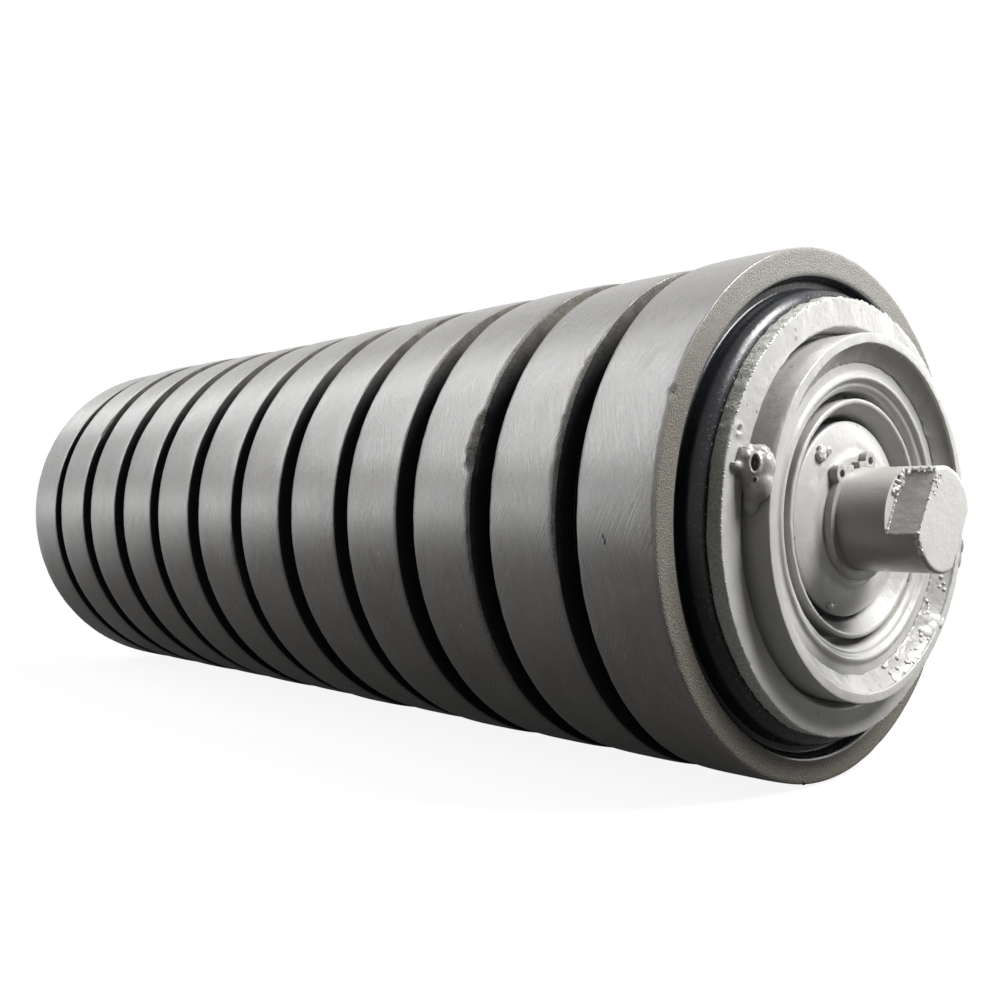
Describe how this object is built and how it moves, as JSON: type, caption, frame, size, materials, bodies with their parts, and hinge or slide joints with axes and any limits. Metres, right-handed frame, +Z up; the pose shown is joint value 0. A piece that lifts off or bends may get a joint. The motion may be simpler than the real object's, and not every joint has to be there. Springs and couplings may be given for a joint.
{
  "type": "impact conveyor roller",
  "caption": "Conveyor idler roller with spaced rubber impact rings on a steel tube that turns on a fixed shaft with flats, through sealed ball bearings.",
  "frame": {"origin": "middle of the roller on the shaft's axis", "axes": "+X along the shaft towards the end that the picture shows, +Z up"},
  "size_m": [0.414, 0.133, 0.133],
  "materials": {
    "rubber": "buffed black rubber, dusty on the tread",
    "painted_steel": "thick glossy warm grey enamel",
    "weld_steel": "weld bead under grey enamel",
    "bearing_steel": "ground bearing steel",
    "cage_steel": "pressed sheet steel",
    "seal_plastic": "moulded black nylon"
  },
  "bodies": {
    "shaft": {"shaft": "painted_steel", "bearing_inner_race_right": "bearing_steel", "bearing_inner_race_left": "bearing_steel", "labyrinth_ring_right": "seal_plastic", "labyrinth_ring_left": "seal_plastic", "dust_cover_right": "painted_steel", "dust_cover_left": "painted_steel", "circlip_right": "painted_steel", "circlip_left": "painted_steel"},
    "roller": {"tube": "painted_steel", "rubber_ring_01": "rubber", "rubber_ring_02": "rubber", "rubber_ring_03": "rubber", "rubber_ring_04": "rubber", "rubber_ring_05": "rubber", "rubber_ring_06": "rubber", "rubber_ring_07": "rubber", "rubber_ring_08": "rubber", "rubber_ring_09": "rubber", "rubber_ring_10": "rubber", "rubber_ring_11": "rubber", "rubber_ring_12": "rubber", "end_collar_right": "painted_steel", "end_collar_left": "painted_steel", "collar_weld_right": "weld_steel", "collar_weld_left": "weld_steel", "bearing_housing_right": "painted_steel", "bearing_housing_left": "painted_steel", "housing_weld_right": "weld_steel", "housing_weld_left": "weld_steel", "bearing_outer_race_right": "bearing_steel", "bearing_outer_race_left": "bearing_steel", "inner_seal_right": "seal_plastic", "inner_seal_left": "seal_plastic", "labyrinth_cup_right": "painted_steel", "labyrinth_cup_left": "painted_steel"},
    "ball_cage_right": {"bearing_cage_right": "cage_steel", "bearing_balls_right": "bearing_steel"},
    "ball_cage_left": {"bearing_cage_left": "cage_steel", "bearing_balls_left": "bearing_steel"}
  },
  "joints": [
    {"name": "roller_spin", "type": "hinge", "parent": "shaft", "child": "roller", "pos_m": [0, 0, 0], "axis": [1, 0, 0], "continuous": true},
    {"name": "ball_cage_right_spin", "type": "hinge", "parent": "shaft", "child": "ball_cage_right", "pos_m": [0.1635, 0, 0], "axis": [1, 0, 0], "continuous": true},
    {"name": "ball_cage_left_spin", "type": "hinge", "parent": "shaft", "child": "ball_cage_left", "pos_m": [-0.1635, 0, 0], "axis": [1, 0, 0], "continuous": true}
  ],
  "couplings": [
    {"joint": "ball_cage_right_spin", "follows": "roller_spin", "ratio": 0.63218},
    {"joint": "ball_cage_left_spin", "follows": "roller_spin", "ratio": 0.63218}
  ]
}
